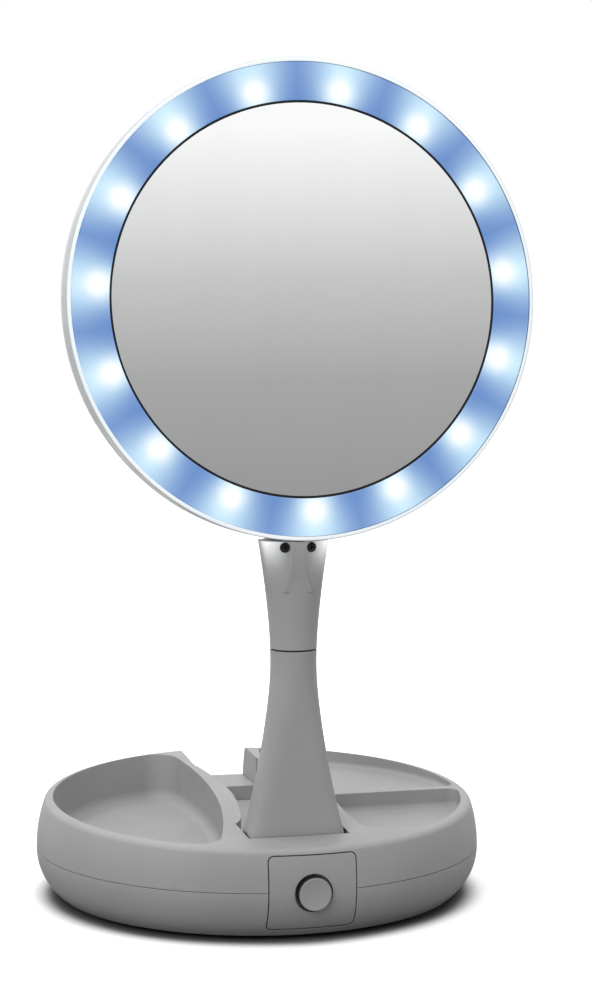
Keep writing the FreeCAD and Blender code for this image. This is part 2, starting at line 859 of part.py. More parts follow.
def ridge():
    """Raised ridge on the front of the upper arm, which widens downwards."""
    top = head_end_height
    foot = top - ridge_length
    edges = []
    for side in (-1, 1):
        rows = ((ridge_foot_half_width, foot), (ridge_waist_half_width, (foot + top) / 2), (ridge_top_half_width, top))
        edges.append(Part.Arc(*[vec(side * half, arm_y, z) for half, z in rows]).toShape())
    for half, z in ((ridge_foot_half_width, foot), (ridge_top_half_width, top)):
        edges.append(Part.makeLine(vec(-half, arm_y, z), vec(half, arm_y, z)))
    face = Part.Face(Part.Wire(Part.__sortEdges__(edges)))
    block = face.extrude(Y_AXIS * -(arm_half_depth + ridge_rise))
    slope = box(-overrun, overrun, -overrun, 0, -overrun, ridge_length + overrun)
    slope.rotate(vec(0, 0, 0), X_AXIS, math.degrees(math.atan2(ridge_rise + ridge_run_in, ridge_length)))
    slope.translate(vec(0, arm_y - arm_half_depth + ridge_run_in, foot))
    return block.cut(slope)


def upper_arm_body():
    """Upper arm with the tongue that carries the tilt hinge."""
    low = neck_height + neck_washer_thickness / 2
    column = arm_column(low, head_end_height)
    wide = tongue_half_width
    root = head_end_height - tongue_root_drop
    tongue = box(-wide, wide, tongue_front_y, hinge_y + knuckle_radius, root, hinge_height)
    knuckle = rod(knuckle_radius, 2 * wide, vec(-wide, hinge_y, hinge_height), X_AXIS)
    reach = box(-wide, wide, tongue_front_y, hinge_y + overrun, 0, hinge_height + overrun)
    return joined([column, ridge(), tongue, knuckle.common(reach)])


def arm_screw_row():
    """Middle x of the two screws in the upper arm."""
    return (-arm_screw_place, arm_screw_place)


def arm_screw_front():
    """Front of the screw heads, a little below the curved face of the arm."""
    share = arm_screw_place / half_width(arm_screw_height)
    return arm_y - arm_half_depth * math.sqrt(1 - share ** 2) + arm_screw_recess


def upper_arm_cuts():
    """Bores for the stem, the wires, the hinge pin and the two screws."""
    low = neck_height - neck_washer_thickness
    stem = rod(stem_radius, stem_up_length + 3 * neck_washer_thickness / 2, vec(0, arm_y, low), Z_AXIS)
    wires = rod(stem_bore_radius, head_end_height - low - tongue_root_drop, vec(0, arm_y, low), Z_AXIS)
    side = vec(-2 * tongue_half_width, hinge_y, hinge_height)
    pin = rod(hinge_pin_radius + running_clearance, 4 * tongue_half_width, side, X_AXIS)
    cuts = [stem, wires, pin]
    front = arm_screw_front()
    for x in arm_screw_row():
        start = vec(x, front - overrun, arm_screw_height)
        sink = arm_screw_head_radius + part_clearance
        cuts.append(rod(sink, overrun + arm_screw_head_radius, start, Y_AXIS))
        start = vec(x, front, arm_screw_height)
        cuts.append(rod(arm_screw_shank_radius + running_clearance, arm_screw_depth, start, Y_AXIS))
    return cuts


def upper_arm_half(front):
    """Front or back half of the upper arm."""
    edge = tongue_front_y
    near, far = (edge - overrun, edge) if front else (edge, edge + overrun)
    wide = head_end_half_width + overrun
    half = box(-wide, wide, near, far, neck_height, hinge_height + overrun)
    return cut_all(upper_arm_body(), upper_arm_cuts()).common(half)


def arm_screws():
    """Two dark screws in the front of the upper arm."""
    screws = []
    for x in arm_screw_row():
        front = arm_screw_front()
        head = rod(arm_screw_head_radius, arm_screw_head_radius, vec(x, front, arm_screw_height), Y_AXIS)
        shank = rod(arm_screw_shank_radius, arm_screw_depth, vec(x, front, arm_screw_height), Y_AXIS)
        screws.append(joined([head, shank]))
    return Part.makeCompound(screws)


def hinge_pin():
    """Pin of the tilt hinge, fixed in the lugs of the head."""
    return rod(hinge_pin_radius, 2 * lug_outer, vec(-lug_outer, hinge_y, hinge_height), X_AXIS)


def head_rod(radius, front, back):
    """Round plate about the axis of the head, between two depths."""
    return rod(radius, back - front, vec(0, front, head_centre_height), Y_AXIS)


def head_ring(outer, inner, front, back):
    """Round ring about the axis of the head, between two depths."""
    return head_rod(outer, front, back).cut(head_rod(inner, front - overrun, back + overrun))


def ring_places(count, radius, start):
    """Places in x and z on a circle about the axis of the head."""
    places = []
    for index in range(count):
        angle = math.radians(start + 360 * index / count)
        places.append((radius * math.cos(angle), head_centre_height + radius * math.sin(angle)))
    return places


def head_bezel():
    """White front ring that holds the diffuser, with a rounded front edge."""
    ring = head_rod(head_radius, head_front_y, bezel_back_y)
    front = [edge for edge in ring.Edges if edge.BoundBox.YMax < head_front_y + 1e-6]
    ring = ring.makeFillet(bezel_lip / 2, front)
    seat = head_rod(diffuser_outer + part_clearance, head_front_y - overrun, inner_front_y)
    room = head_rod(head_room_radius, head_front_y, bezel_back_y + overrun)
    return ring.cut(seat).cut(room)


def head_back():
    """Back housing: a dish with a rounded edge, bosses for the screws and the two hinge lugs."""
    dish = head_rod(head_radius, bezel_back_y, head_back_y)
    edge = [item for item in dish.Edges if item.BoundBox.YMin > head_back_y - 1e-6]
    dish = dish.makeFillet(head_round, edge)
    room_back = head_back_y - back_wall - head_round / 2
    room = head_rod(head_room_radius, bezel_back_y - overrun, room_back)
    core = head_rod(head_room_radius - head_round, bezel_back_y, head_back_y - back_wall)
    shell = dish.cut(room).cut(core)
    adds = []
    for x, z in ring_places(head_screw_count, head_screw_place, 90):
        start = glass_back_y + part_clearance
        adds.append(rod(head_boss_radius, head_back_y - back_wall / 2 - start, vec(x, start, z), Y_AXIS))
    for side in (-1, 1):
        inner = side * (tongue_half_width + lug_gap)
        outer = side * lug_outer
        low, high = min(inner, outer), max(inner, outer)
        eye = rod(knuckle_radius, high - low, vec(low, hinge_y, hinge_height), X_AXIS)
        front = head_back_y - back_wall / 2
        bottom = hinge_height - knuckle_radius
        root = box(low, high, front, hinge_y, bottom, hinge_height + knuckle_radius)
        adds.append(joined([eye, root]))
    start = board_front_y + board_thickness
    for x, z in ring_places(head_screw_count, led_ring_radius, 90):
        adds.append(rod(board_leg_radius, head_back_y - back_wall / 2 - start, vec(x, start, z), Y_AXIS))
    shell = joined([shell] + adds)
    side = vec(-lug_outer - overrun / 2, hinge_y, hinge_height)
    cuts = [rod(hinge_pin_radius, 2 * lug_outer + overrun, side, X_AXIS)]
    for x, z in ring_places(head_screw_count, head_screw_place, 90):
        start = vec(x, head_back_y - head_screw_head_height, z)
        sink = head_screw_head_radius + part_clearance
        cuts.append(rod(sink, head_screw_head_height + overrun, start, Y_AXIS))
        start = vec(x, head_front_y, z)
        cuts.append(rod(head_screw_shank_radius + running_clearance, head_thickness, start, Y_AXIS))
    return cut_all(shell, cuts)


def mirror_glass():
    """Round mirror with a fine ground edge."""
    glass = head_rod(diffuser_inner_radius - gasket_width, glass_front_y, glass_back_y)
    front = [edge for edge in glass.Edges if edge.BoundBox.YMax < glass_front_y + 1e-6]
    return glass.makeChamfer(gasket_width / 2, front)


def mirror_gasket():
    """Thin dark ring round the mirror, with a lip behind the glass."""
    inner = diffuser_inner_radius - gasket_width
    ring = head_ring(diffuser_inner_radius, inner, glass_front_y, board_front_y)
    lip = head_ring(diffuser_inner_radius, board_inner_radius, glass_back_y, board_front_y)
    return joined([ring, lip])


def diffuser_ring():
    """Milky ring over the lamps, slightly crowned."""
    front = head_front_y + diffuser_recess
    ring = head_ring(diffuser_outer, diffuser_inner_radius, front - diffuser_crown, inner_front_y)
    edges = [edge for edge in ring.Edges if edge.BoundBox.YMax < front - diffuser_crown + 1e-6]
    return ring.makeFillet(diffuser_crown, edges)


def lamp_board():
    """Ring board for the lamps, carried on short legs of the back housing."""
    outer = head_room_radius - board_edge_gap
    return head_ring(outer, board_inner_radius, board_front_y, board_front_y + board_thickness)


def lamps():
    """Ring of small lamps on the board."""
    chips = []
    back = board_front_y
    for index in range(led_count):
        angle = led_start_angle + 360 * index / led_count
        half = led_length / 2
        low = led_ring_radius - led_width / 2
        chip = box(-half, half, back - led_thickness, back, low, low + led_width)
        chip.rotate(vec(0, 0, 0), Y_AXIS, 90 - angle)
        chip.translate(vec(0, 0, head_centre_height))
        chips.append(chip)
    return Part.makeCompound(chips)


def head_screws():
    """Screws in the back of the head."""
    screws = []
    for x, z in ring_places(head_screw_count, head_screw_place, 90):
        start = vec(x, head_back_y, z)
        head = rod(head_screw_head_radius, head_screw_head_height, start, Y_AXIS * -1)
        shank = rod(head_screw_shank_radius, head_screw_length, start, Y_AXIS * -1)
        screws.append(joined([head, shank]))
    return Part.makeCompound(screws)


def upper_arm_front():
    """Front half of the upper arm."""
    return upper_arm_half(True)


def upper_arm_back():
    """Back half of the upper arm, with the tongue."""
    return upper_arm_half(False)


PIECES = {
    "base_upper_shell": upper_shell,
    "base_lower_shell": lower_shell,
    "battery_cover": battery_cover,
    "battery_cells": battery_cells,
    "battery_contacts": battery_contacts,
    "rubber_feet": rubber_feet,
    "base_screws": base_screws,
    "circuit_board": circuit_board,
    "control_panel": control_panel,
    "power_button": power_button,
    "push_switch": push_switch,
    "arm_pivot_pin": pivot_pin,
    "friction_washers": friction_washers,
    "lower_arm": lower_arm,
    "neck_bush": neck_bush,
    "neck_washer": neck_washer,
    "swivel_stem": swivel_stem,
    "upper_arm_front": upper_arm_front,
    "upper_arm_back": upper_arm_back,
    "arm_screws": arm_screws,
    "hinge_pin": hinge_pin,
    "head_back": head_back,
    "head_bezel": head_bezel,
    "diffuser_ring": diffuser_ring,
    "lamp_board": lamp_board,
    "lamps": lamps,
    "mirror_glass": mirror_glass,
    "mirror_gasket": mirror_gasket,
    "head_screws": head_screws,
}


HEAD_PIECES = (
    "hinge_pin",
    "head_back",
    "head_bezel",
    "diffuser_ring",
    "lamp_board",
    "lamps",
    "mirror_glass",
    "mirror_gasket",
    "head_screws",
)


def main():
    """Build every piece and write its file, with the head leant back a little at rest."""
    os.makedirs("parts", exist_ok=True)
    for name, make in PIECES.items():
        shape = make()
        if name in HEAD_PIECES:
            shape.rotate(vec(0, hinge_y, hinge_height), X_AXIS, -head_lean_angle)
        shape.exportStep("parts/" + name + ".step")
        print(name, len(shape.Solids), round(shape.Volume), shape.isValid())


main()
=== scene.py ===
"""Dressed scene of a lighted folding makeup mirror: tray base, folding arm and lit mirror head."""
import logging
import math
from dataclasses import dataclass
from enum import Enum
from typing import Dict, List, Optional, Sequence, Tuple, Union

import bmesh
import bpy
from mathutils import Matrix, Vector


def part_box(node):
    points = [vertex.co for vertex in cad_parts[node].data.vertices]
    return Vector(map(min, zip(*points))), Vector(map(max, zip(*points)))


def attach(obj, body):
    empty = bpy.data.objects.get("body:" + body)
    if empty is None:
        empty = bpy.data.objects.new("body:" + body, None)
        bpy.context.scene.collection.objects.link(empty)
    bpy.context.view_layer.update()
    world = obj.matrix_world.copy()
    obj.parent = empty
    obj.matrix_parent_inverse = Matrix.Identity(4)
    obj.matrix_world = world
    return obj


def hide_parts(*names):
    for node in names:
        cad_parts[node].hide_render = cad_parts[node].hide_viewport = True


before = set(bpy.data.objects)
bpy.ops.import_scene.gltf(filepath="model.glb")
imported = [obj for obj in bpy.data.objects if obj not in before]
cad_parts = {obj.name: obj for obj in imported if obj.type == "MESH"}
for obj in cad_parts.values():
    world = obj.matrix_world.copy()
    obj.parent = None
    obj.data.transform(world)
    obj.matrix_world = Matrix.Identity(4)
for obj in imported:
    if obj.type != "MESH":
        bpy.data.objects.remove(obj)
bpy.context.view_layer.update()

LOG = logging.getLogger("mirror_scene")

Colour = Tuple[float, float, float]
Point = Tuple[float, float, float]
Feed = Union[bpy.types.NodeSocket, float, Tuple[float, ...]]

MM = 0.001
NOISE_SPAN = (0.3, 0.7)  # where nearly all of a noise's values lie
FULL = (0.0, 1.0)
SHARP_ANGLE = math.radians(32.0)
AXIS_RADIUS = 1e-9  # a smaller radius is a point on the axis


class Grain(Enum):
    """Surface texture of a mould, as the size of its grain and the height of its bumps in metres."""

    SPARK = (0.00042, 0.000030)
    SATIN = (0.00024, 0.000014)
    POLISHED = (0.00300, 0.000006)


def grey(level: float) -> Colour:
    """Neutral colour of one linear level."""
    return (level, level, level)


class NodeGraph:
    """Node tree of one material, written in few words."""

    def __init__(self, name: str) -> None:
        """Start an empty tree.

        Args:
            name: Name of the new material.
        """
        self.material = bpy.data.materials.new(name)
        self.material.use_nodes = True
        self.tree = self.material.node_tree
        self.tree.nodes.clear()
        self.output = self.add("ShaderNodeOutputMaterial")

    def add(self, kind: str, **settings: object) -> bpy.types.Node:
        """Add a node.

        Args:
            kind: Blender's name of the node type.
            settings: Properties to set on it.

        Returns:
            The new node.
        """
        node = self.tree.nodes.new(kind)
        for key, value in settings.items():
            setattr(node, key, value)
        return node

    def feed(self, socket: bpy.types.NodeSocket, value: Feed) -> None:
        """Link a socket into an input, or set the input to a constant.

        Args:
            socket: Input that is fed.
            value: Output socket, number or colour.
        """
        if isinstance(value, bpy.types.NodeSocket):
            self.tree.links.new(value, socket)
        elif isinstance(value, tuple) and len(socket.default_value) == 4 and len(value) == 3:
            socket.default_value = (*value, 1.0)
        else:
            socket.default_value = value

    def math(self, operation: str, first: Feed, second: Feed = 0.0) -> bpy.types.NodeSocket:
        """Result of a math node.

        Args:
            operation: Blender's name of the operation.
            first: First input.
            second: Second input.

        Returns:
            The value socket.
        """
        node = self.add("ShaderNodeMath", operation=operation)
        for socket, value in zip(node.inputs, (first, second)):
            self.feed(socket, value)
        return node.outputs[0]

    def distance(self, first: Feed, second: Feed) -> bpy.types.NodeSocket:
        """Length of the two sides' diagonal."""
        squares = self.math("MULTIPLY", first, first), self.math("MULTIPLY", second, second)
        return self.math("SQRT", self.math("ADD", *squares))

    def place(self) -> bpy.types.NodeSocket:
        """Place on the object, in metres in the frame of the mirror."""
        return self.add("ShaderNodeTexCoord").outputs["Object"]

    def backward(self) -> bpy.types.NodeSocket:
        """How far the piece's own surface faces back, from -1 at its front to 1."""
        return self.parts(self.add("ShaderNodeTexCoord").outputs["Normal"])[1]

    def parts(self, vector: bpy.types.NodeSocket) -> Sequence[bpy.types.NodeSocket]:
        """The three parts of a vector."""
        node = self.add("ShaderNodeSeparateXYZ")
        self.feed(node.inputs[0], vector)
        return node.outputs

    def noise(self, size: float, detail: float = 2.0, roughness: float = 0.5) -> bpy.types.NodeSocket:
        """Smooth noise over the object.

        Args:
            size: Size of its largest blotches in metres.
            detail: Octaves of finer noise.
            roughness: Share of each finer octave.

        Returns:
            Socket from 0 to 1.
        """
        node = self.add("ShaderNodeTexNoise")
        self.feed(node.inputs["Vector"], self.place())
        node.inputs["Scale"].default_value = 1.0 / size
        node.inputs["Detail"].default_value = detail
        node.inputs["Roughness"].default_value = roughness
        return node.outputs[0]

    def cells(self, size: float) -> bpy.types.NodeSocket:
        """Distance to the nearest of scattered points, for grain and pits of one size in metres."""
        node = self.add("ShaderNodeTexVoronoi")
        self.feed(node.inputs["Vector"], self.place())
        node.inputs["Scale"].default_value = 1.0 / size
        return node.outputs["Distance"]

    def spread(self, value: Feed, span: Tuple[float, float], to: Tuple[float, float]) -> bpy.types.NodeSocket:
        """Value moved from one span to another and held at its ends.

        Args:
            value: Input value.
            span: Lowest and highest input.
            to: Output at those ends.

        Returns:
            The value socket.
        """
        node = self.add("ShaderNodeMapRange")
        for index, entry in enumerate((value, *span, *to)):
            self.feed(node.inputs[index], entry)
        return node.outputs[0]

    def mix(self, share: Feed, first: Feed, second: Feed) -> bpy.types.NodeSocket:
        """Colour between two colours.

        Args:
            share: Share of the second colour.
            first: First colour.
            second: Second colour.

        Returns:
            The colour socket.
        """
        node = self.add("ShaderNodeMix", data_type="RGBA")
        factor, colour_a, colour_b, result = 0, 6, 7, 2  # the node's sockets for colours
        self.feed(node.inputs[factor], share)
        self.feed(node.inputs[colour_a], first)
        self.feed(node.inputs[colour_b], second)
        return node.outputs[result]

    def rounded(self, radius: float) -> bpy.types.NodeSocket:
        """Normal of the surface with its sharp edges rounded by a radius in metres."""
        node = self.add("ShaderNodeBevel", samples=4)
        node.inputs["Radius"].default_value = radius
        return node.outputs[0]

    def edges(self, normal: bpy.types.NodeSocket) -> bpy.types.NodeSocket:
        """Mask of the rounded edges.

        Args:
            normal: Rounded normal.

        Returns:
            Socket that is 0 on flat ground and 1 on an edge.
        """
        node = self.add("ShaderNodeVectorMath", operation="DOT_PRODUCT")
        self.feed(node.inputs[0], normal)
        self.feed(node.inputs[1], self.add("ShaderNodeNewGeometry").outputs["Normal"])
        return self.spread(node.outputs["Value"], (0.80, 0.99), (1.0, 0.0))

    def openness(self, reach: float, samples: int) -> bpy.types.NodeSocket:
        """Share of the sky over a point that is free within a reach.

        Args:
            reach: Distance in metres over which other surfaces count.
            samples: Rays that are sent.

        Returns:
            Socket that is 1 on open ground and falls in gaps.
        """
        node = self.add("ShaderNodeAmbientOcclusion", samples=samples)
        node.inputs["Distance"].default_value = reach
        return node.outputs["AO"]

    def bump(
        self, height: Feed, depth: float, normal: Optional[bpy.types.NodeSocket] = None
    ) -> bpy.types.NodeSocket:
        """Normal with fine relief.

        Args:
            height: Height of the relief from 0 to 1.
            depth: Depth of the relief in metres.
            normal: Normal that it starts from.

        Returns:
            The normal socket.
        """
        node = self.add("ShaderNodeBump")
        node.inputs["Distance"].default_value = depth
        self.feed(node.inputs["Height"], height)
        if normal is not None:
            self.feed(node.inputs["Normal"], normal)
        return node.outputs[0]

    def surface(self, **feeds: Feed) -> bpy.types.Material:
        """Close the tree with a surface shader.

        Args:
            feeds: Inputs of the shader, with underscores for spaces.

        Returns:
            The finished material.
        """
        shader = self.add("ShaderNodeBsdfPrincipled")
        for key, value in feeds.items():
            self.feed(shader.inputs[key.replace("_", " ")], value)
        self.tree.links.new(shader.outputs[0], self.output.inputs[0])
        return self.material


@dataclass(frozen=True)
class MouldedPlastic:
    """Injection-moulded plastic with grain, faint flow clouds, edges lighter as rubbed wear and painted
    highlight, and painted shade in gaps.
    """

    name: str
    colour: Colour
    grain: Grain
    roughness: float = 0.46
    edge_radius: float = 0.4 * MM
    # glow and front_glow: strengths of a painted glow, emission on plastic that is no lamp; front_glow is
    # added on faces turned forward
    glow: float = 0.0
    front_glow: float = 0.55
    # spill: heights between which a painted glow stands in for the ring's light on the arm
    spill: Optional[Tuple[float, float]] = None
    # sleeve: share by which faces that don't face forward are darkened nearly to black
    sleeve: float = 0.0
    # Reach within which close surfaces darken the colour as painted shade in gaps
    gap_shade_reach: float = 1.6 * MM
    # head_reach and the lit_ bounds shape where that painted glow of the arm falls
    head_reach: float = 40.0 * MM
    lit_sides: Tuple[float, float] = (4.0 * MM, 11.0 * MM)
    lit_front: Tuple[float, float] = (-61.0 * MM, -57.0 * MM)
    lit_top: Tuple[float, float] = (144.7 * MM, 145.1 * MM)

    def forward(self, graph: NodeGraph) -> bpy.types.NodeSocket:
        """Painted glow in place of light passing through the plastic, painted stronger where it faces
        forward.

        Args:
            graph: Tree that it is added to.

        Returns:
            Strength of the glow.
        """
        return graph.spread(graph.backward(), (-0.95, -0.45), (self.glow + self.front_glow, self.glow))

    def painted_spill(self, graph: NodeGraph) -> bpy.types.NodeSocket:
        """Painted light in place of the ring's light on the plastic between two heights while the head is
        close above.

        Args:
            graph: Tree that it is added to.

        Returns:
            Strength that rises towards the head and the sides, on the front half alone,
            and is 0 once the head is away.
        """
        x, y, height = graph.parts(graph.place())
        strength = graph.math("POWER", graph.spread(height, self.spill, FULL), 1.35)
        side = graph.spread(graph.math("ABSOLUTE", x), self.lit_sides, (0.20, 1.0))
        below = graph.spread(height, self.lit_top, (1.0, 0.0))
        front = graph.spread(y, self.lit_front, (0.90, 0.0))
        close = graph.spread(graph.openness(self.head_reach, 16), (0.80, 0.97), (1.0, 0.0))
        for share in (side, below, front, close):
            strength = graph.math("MULTIPLY", strength, share)
        return strength

    def material(self) -> bpy.types.Material:
        """Node material of this plastic."""
        graph = NodeGraph(self.name)
        size, depth = self.grain.value
        soft = graph.rounded(self.edge_radius)
        edge_wear_and_highlight = graph.edges(soft)
        cloud = graph.noise(0.045, 3.0, 0.55)
        fleck = graph.cells(size)
        shade = tuple(channel * 0.93 for channel in self.colour)
        light = tuple(min(channel * 1.05, 1.0) for channel in self.colour)
        # Edge colour: lighter partly as rubbed wear, partly as a painted highlight
        rubbed_and_highlit = tuple(min(channel * 1.22 + 0.01, 1.0) for channel in self.colour)
        clouded = graph.spread(cloud, NOISE_SPAN, FULL)
        body = graph.mix(clouded, shade, light)
        body = graph.mix(graph.spread(fleck, (0.1, 0.7), (0.0, 0.05)), body, grey(0.02))
        body = graph.mix(graph.math("MULTIPLY", edge_wear_and_highlight, 0.35), body, rubbed_and_highlit)
        # Painted shade: colour darkened nearly to black in gaps and creases where other surfaces are close
        painted_gap_shade = graph.spread(graph.openness(self.gap_shade_reach, 6), (0.25, 0.62), (0.95, 0.0))
        body = graph.mix(painted_gap_shade, body, grey(0.003))
        # Faces that don't face forward, such as the button's side walls, are darkened nearly to black
        if self.sleeve > 0.0:
            dark = graph.spread(graph.backward(), (-0.80, -0.55), (0.0, self.sleeve))
            body = graph.mix(dark, body, grey(0.004))
        handled = graph.noise(0.02, 4.0, 0.6)
        rough = graph.spread(handled, NOISE_SPAN, (self.roughness - 0.07, self.roughness + 0.07))
        rough = graph.math("SUBTRACT", rough, graph.math("MULTIPLY", edge_wear_and_highlight, 0.08))
        relief = graph.math("ADD", fleck, graph.math("MULTIPLY", graph.noise(size * 3.0), 0.5))
        feeds: Dict[str, Feed] = {
            "Base_Color": body,
            "Roughness": rough,
            "Normal": graph.bump(relief, depth, soft),
            "IOR": 1.49,
        }
        # Painted glow: emission on plastic that is no lamp, stronger on faces turned forward
        if self.glow > 0.0:
            feeds["Emission_Color"] = graph.mix(clouded, (0.86, 0.93, 1.0), grey(1.0))
            feeds["Emission_Strength"] = self.forward(graph)
        # Painted light: emission on the arm in place of the ring's light falling on it
        if self.spill is not None:
            feeds["Emission_Color"] = graph.mix(clouded, (0.90, 0.95, 1.0), grey(1.0))
            feeds["Emission_Strength"] = self.painted_spill(graph)
        return graph.surface(**feeds)


@dataclass(frozen=True)
class SoftRubber:
    """Matt dark rubber with dust in its pores."""

    name: str
    colour: Colour
    roughness: float = 0.72
    dust: float = 0.25

    def material(self) -> bpy.types.Material:
        """Node material of this rubber."""
        graph = NodeGraph(self.name)
        pores = graph.cells(0.0006)
        dust = graph.spread(graph.noise(0.006, 4.0, 0.65), (0.45, 0.75), (0.0, self.dust))
        body = graph.mix(dust, self.colour, grey(0.09))
        rough = graph.spread(graph.noise(0.004), NOISE_SPAN, (self.roughness - 0.08, self.roughness + 0.1))
        return graph.surface(Base_Color=body, Roughness=rough, Normal=graph.bump(pores, 0.00003), IOR=1.52)


@dataclass(frozen=True)
class DrawnSteel:
    """Plated steel with fine drawing marks along one axis."""

    name: str
    colour: Colour
    roughness: float
    along: int
    metallic: float = 1.0

    def material(self) -> bpy.types.Material:
        """Node material of this steel."""
        graph = NodeGraph(self.name)
        stretch = graph.add("ShaderNodeMapping")
        scale = [1.0, 1.0, 1.0]
        scale[self.along] = 0.04
        stretch.inputs["Scale"].default_value = scale
        graph.feed(stretch.inputs["Vector"], graph.place())
        lines = graph.add("ShaderNodeTexNoise")
        graph.feed(lines.inputs["Vector"], stretch.outputs[0])
        lines.inputs["Scale"].default_value = 6000.0
        lines.inputs["Detail"].default_value = 3.0
        tarnish = graph.noise(0.004, 4.0, 0.6)
        dull = tuple(channel * 0.72 for channel in self.colour)
        body = graph.mix(graph.spread(tarnish, (0.4, 0.7), (0.0, 0.6)), self.colour, dull)
        rough = graph.spread(lines.outputs[0], NOISE_SPAN, (self.roughness - 0.08, self.roughness + 0.12))
        normal = graph.bump(lines.outputs[0], 0.000008, graph.rounded(0.12 * MM))
        return graph.surface(Base_Color=body, Roughness=rough, Normal=normal, Metallic=self.metallic)


@dataclass(frozen=True)
class BoardLaminate:
    """Circuit board with lacquer, copper tracks under it and bare pads."""

    name: str
    lacquer: Colour
    track: Colour
    pitch: float = 2.54 * MM

    def material(self) -> bpy.types.Material:
        """Node material of this board."""
        graph = NodeGraph(self.name)
        weave = graph.noise(0.0009, 2.0)
        wave = graph.add("ShaderNodeTexBrick")
        graph.feed(wave.inputs["Vector"], graph.place())
        wave.inputs["Scale"].default_value = 1.0 / self.pitch
        wave.inputs["Mortar Size"].default_value = 0.11
        areas = graph.spread(graph.noise(0.006), (0.48, 0.52), FULL)
        tracks = graph.math("MULTIPLY", wave.outputs["Fac"], areas)
        body = graph.mix(tracks, self.lacquer, self.track)
        body = graph.mix(graph.spread(weave, NOISE_SPAN, (0.0, 0.12)), body, grey(0.6))
        rough = graph.spread(weave, NOISE_SPAN, (0.28, 0.42))
        normal = graph.bump(graph.math("ADD", tracks, graph.math("MULTIPLY", weave, 0.2)), 0.00003)
        return graph.surface(Base_Color=body, Roughness=rough, Normal=normal, IOR=1.5)


@dataclass(frozen=True)
class CellSleeve:
    """Shrink sleeve of a power cell with a plain band, and its bare metal ends."""

    name: str
    sleeve: Colour
    band: Colour
    middle: float
    half_length: float
    band_edge: Tuple[float, float] = (13.9 * MM, 14.1 * MM)

    def material(self) -> bpy.types.Material:
        """Node material of this cell."""
        graph = NodeGraph(self.name)
        along = graph.math("ABSOLUTE", graph.math("SUBTRACT", graph.parts(graph.place())[1], self.middle))
        end = graph.spread(along, (self.half_length - 1.6 * MM, self.half_length - 1.4 * MM), FULL)
        banded = graph.spread(along, self.band_edge, FULL)
        scuff = graph.spread(graph.noise(0.003, 5.0, 0.7), (0.55, 0.75), (0.0, 0.3))
        body = graph.mix(banded, self.sleeve, self.band)
        body = graph.mix(scuff, body, grey(0.3))
        body = graph.mix(end, body, grey(0.62))
        wrinkle = graph.bump(graph.noise(0.0015, 3.0), 0.00002)
        rough = graph.spread(graph.noise(0.004), NOISE_SPAN, (0.24, 0.38))
        return graph.surface(Base_Color=body, Roughness=rough, Metallic=end, Normal=wrinkle)


@dataclass(frozen=True)
class LitRing:
    """Milky ring lit from behind by a row of lamps, bright at each lamp and blue between them."""

    name: str
    centre_height: float
    lamp_radius: float
    lamp_count: int
    first_lamp: float
    between: Colour = (0.085, 0.215, 0.540)
    near: Colour = (0.60, 0.85, 1.0)
    core: Colour = (1.0, 1.0, 1.0)
    core_size: float = 4.2 * MM
    halo_size: float = 8.6 * MM
    inward: float = 0.6 * MM
    fan_out: float = 38.0

    def falloff(
        self, graph: NodeGraph, along: Feed, across: Feed, size: float, squash: float
    ) -> bpy.types.NodeSocket:
        """Soft round spot.

        Args:
            graph: Tree that it is added to.
            along: Distance along the ring from the nearest lamp.
            across: Distance across the ring from the row of lamps.
            size: Size of the spot in metres.
            squash: Share of the distance across that counts.

        Returns:
            Socket that is 1 at the lamp and falls to 0.
        """
        first = graph.math("POWER", graph.math("ABSOLUTE", graph.math("DIVIDE", along, size)), 2.0)
        second = graph.math("MULTIPLY", across, squash / size)
        second = graph.math("POWER", graph.math("ABSOLUTE", second), 2.0)
        return graph.math("EXPONENT", graph.math("MULTIPLY", graph.math("ADD", first, second), -1.0))

    def material(self) -> bpy.types.Material:
        """Node material of the lit ring."""
        graph = NodeGraph(self.name)
        x, _, height = graph.parts(graph.place())
        rise = graph.math("SUBTRACT", height, self.centre_height)
        radius = graph.distance(x, rise)
        turn = graph.math("SUBTRACT", graph.math("ARCTAN2", rise, x), self.first_lamp)
        step = math.tau / self.lamp_count
        part = graph.math("FRACT", graph.math("ADD", graph.math("DIVIDE", turn, step), 0.5))
        swing = graph.math("MULTIPLY", graph.math("SUBTRACT", part, 0.5), step)
        along = graph.math("MULTIPLY", swing, radius)
        across = graph.math("SUBTRACT", radius, self.lamp_radius - self.inward)
        fan = graph.math("ADD", 1.0, graph.math("MULTIPLY", across, self.fan_out))
        halo = self.falloff(graph, graph.math("DIVIDE", along, fan), across, self.halo_size, 0.35)
        core = self.falloff(graph, along, across, self.core_size, 1.0)
        milk = graph.spread(graph.noise(0.012, 3.0), NOISE_SPAN, (0.94, 1.06))
        body = graph.mix(graph.math("MULTIPLY", halo, milk), self.between, self.near)
        burnt = graph.math("MINIMUM", graph.math("MULTIPLY", core, 1.25), 1.0)
        body = graph.mix(burnt, body, self.core)
        frost = graph.bump(graph.cells(0.0004), 0.000012)
        rough = graph.spread(graph.noise(0.003), NOISE_SPAN, (0.34, 0.44))
        milky = graph.mix(milk, grey(0.05), grey(0.06))
        lit = {"Emission_Color": body, "Emission_Strength": 1.0}
        return graph.surface(Base_Color=milky, Roughness=rough, Normal=frost, IOR=1.49, **lit)


@dataclass(frozen=True)
class LampChip:
    """Small white lamp with a yellow phosphor window."""

    name: str
    strength: float = 3.0

    def material(self) -> bpy.types.Material:
        """Node material of this lamp."""
        graph = NodeGraph(self.name)
        speckle = graph.noise(0.0005, 2.0)
        body = graph.mix(speckle, (0.92, 0.80, 0.30), (0.98, 0.92, 0.62))
        light = graph.mix(speckle, (0.80, 0.92, 1.0), grey(1.0))
        rough = graph.spread(speckle, NOISE_SPAN, (0.3, 0.5))
        lit = {"Emission_Color": light, "Emission_Strength": self.strength}
        return graph.surface(Base_Color=body, Roughness=rough, **lit)


